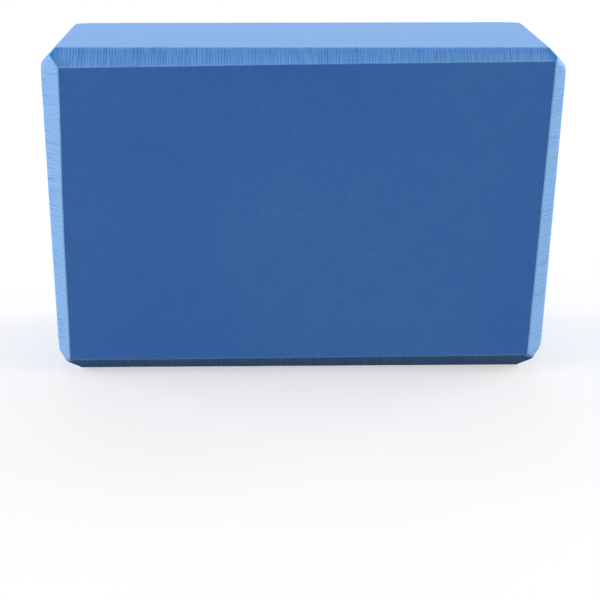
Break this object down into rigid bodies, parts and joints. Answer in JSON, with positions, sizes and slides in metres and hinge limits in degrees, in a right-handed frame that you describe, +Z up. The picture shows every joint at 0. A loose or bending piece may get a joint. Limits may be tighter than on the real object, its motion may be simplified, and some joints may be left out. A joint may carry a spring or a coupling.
{
  "type": "foam block",
  "caption": "Rectangular closed-cell foam block with chamfered edges, a firm and light support that can stand on any of its faces.",
  "frame": {"origin": "middle of the base, on the surface that the block stands on", "axes": "+X along the length, towards the right end; +Y through the thickness, from the front face to the back; +Z up"},
  "size_m": [0.2286, 0.0762, 0.1524],
  "materials": {
    "foam": "matte blue closed-cell foam, smooth on its faces and finely scored across its planed chamfers"
  },
  "bodies": {
    "root": {"foam_block": "foam"}
  },
  "joints": []
}
